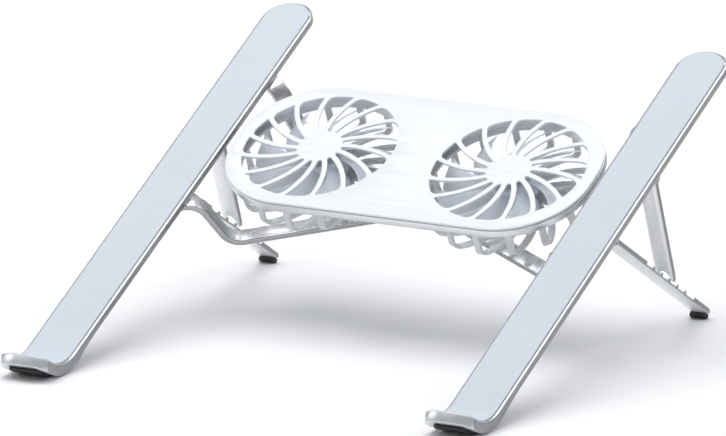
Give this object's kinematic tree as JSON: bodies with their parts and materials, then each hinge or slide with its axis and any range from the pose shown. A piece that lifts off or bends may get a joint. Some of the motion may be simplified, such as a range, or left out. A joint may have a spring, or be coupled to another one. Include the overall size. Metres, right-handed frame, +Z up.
{
  "type": "laptop cooling stand",
  "caption": "Foldable laptop cooling stand: two tilted padded arms with curled front lips and notched rear legs, joined by crossed link bars that carry a flat module of swirl-grilled fans.",
  "frame": {"origin": "centre of the bounding box at table level", "axes": "+Z up, +Y away from the user (the arms rise towards +Y), +X to the user's right"},
  "size_m": [0.247, 0.2738, 0.1248],
  "materials": {
    "silver_aluminium": "fine brushed, satin",
    "bright_steel": "polished",
    "pale_silicone": "matt, pale blue-grey",
    "black_rubber": "matt",
    "white_plastic": "satin white",
    "grey_plastic": "satin grey",
    "blade_plastic": "translucent-looking pale grey",
    "motor_black": "satin",
    "board_green": "solder mask"
  },
  "bodies": {
    "fan_module": {"top_cover": "white_plastic", "rim_tray": "silver_aluminium", "centre_post": "grey_plastic", "post_screw_1": "bright_steel", "post_screw_2": "bright_steel", "circuit_board": "board_green", "power_socket": "bright_steel", "centre_rivet": "bright_steel", "left_fan_cage": "grey_plastic", "left_fan_motor": "motor_black", "right_fan_cage": "grey_plastic", "right_fan_motor": "motor_black"},
    "left_rotor": {"left_fan_rotor": "blade_plastic", "left_fan_shaft": "bright_steel"},
    "right_rotor": {"right_fan_rotor": "blade_plastic", "right_fan_shaft": "bright_steel"},
    "lower_bar": {"link_lower": "silver_aluminium", "left_front_slider": "bright_steel", "right_rear_pivot": "bright_steel"},
    "upper_bar": {"link_upper": "silver_aluminium", "right_front_slider": "bright_steel", "left_rear_pivot": "bright_steel"},
    "left_arm": {"left_arm_rail": "silver_aluminium", "left_arm_pad": "pale_silicone", "left_front_foot": "black_rubber", "left_leg_pin": "bright_steel", "left_strut_pin": "bright_steel"},
    "left_leg_swing": {"left_leg": "silver_aluminium", "left_leg_foot": "black_rubber"},
    "left_strut_swing": {"left_strut": "silver_aluminium"},
    "right_arm": {"right_arm_rail": "silver_aluminium", "right_arm_pad": "pale_silicone", "right_front_foot": "black_rubber", "right_leg_pin": "bright_steel", "right_strut_pin": "bright_steel"},
    "right_leg_swing": {"right_leg": "silver_aluminium", "right_leg_foot": "black_rubber"},
    "right_strut_swing": {"right_strut": "silver_aluminium"}
  },
  "joints": [
    {"name": "width_scissor", "type": "hinge", "parent": "fan_module", "child": "lower_bar", "pos_m": [0, 0.04376, 0.08117], "axis": [0, -0.4305, 0.9026], "range_deg": [-15, 2.5]},
    {"name": "upper_bar_scissor", "type": "hinge", "parent": "fan_module", "child": "upper_bar", "pos_m": [0, 0.04376, 0.08117], "axis": [0, -0.4305, 0.9026], "range_deg": [-2.5, 15]},
    {"name": "right_arm_pivot", "type": "hinge", "parent": "lower_bar", "child": "right_arm", "pos_m": [0.1043, 0.08798, 0.10226], "axis": [0, -0.4305, 0.9026], "range_deg": [-2.5, 15]},
    {"name": "left_arm_pivot", "type": "hinge", "parent": "upper_bar", "child": "left_arm", "pos_m": [-0.1043, 0.08798, 0.10226], "axis": [0, -0.4305, 0.9026], "range_deg": [-15, 2.5]},
    {"name": "left_leg_hinge", "type": "hinge", "parent": "left_arm", "child": "left_leg_swing", "pos_m": [-0.1155, 0.01457, 0.06082], "axis": [1, 0, 0], "range_deg": [-124.8, 0]},
    {"name": "left_strut_hinge", "type": "hinge", "parent": "left_arm", "child": "left_strut_swing", "pos_m": [-0.1155, 0.05735, 0.08123], "axis": [1, 0, 0], "range_deg": [0, 93.5]},
    {"name": "right_leg_hinge", "type": "hinge", "parent": "right_arm", "child": "right_leg_swing", "pos_m": [0.1155, 0.01457, 0.06082], "axis": [1, 0, 0], "range_deg": [-124.8, 0]},
    {"name": "right_strut_hinge", "type": "hinge", "parent": "right_arm", "child": "right_strut_swing", "pos_m": [0.1155, 0.05735, 0.08123], "axis": [1, 0, 0], "range_deg": [0, 93.5]},
    {"name": "left_fan_spin", "type": "hinge", "parent": "fan_module", "child": "left_rotor", "pos_m": [-0.05, 0.04806, 0.07214], "axis": [0, -0.4305, 0.9026], "continuous": true},
    {"name": "right_fan_spin", "type": "hinge", "parent": "fan_module", "child": "right_rotor", "pos_m": [0.05, 0.04806, 0.07214], "axis": [0, -0.4305, 0.9026], "continuous": true}
  ],
  "couplings": [
    {"joint": "upper_bar_scissor", "follows": "width_scissor", "ratio": -1},
    {"joint": "right_arm_pivot", "follows": "width_scissor", "ratio": -1},
    {"joint": "left_arm_pivot", "follows": "width_scissor", "ratio": 1}
  ]
}
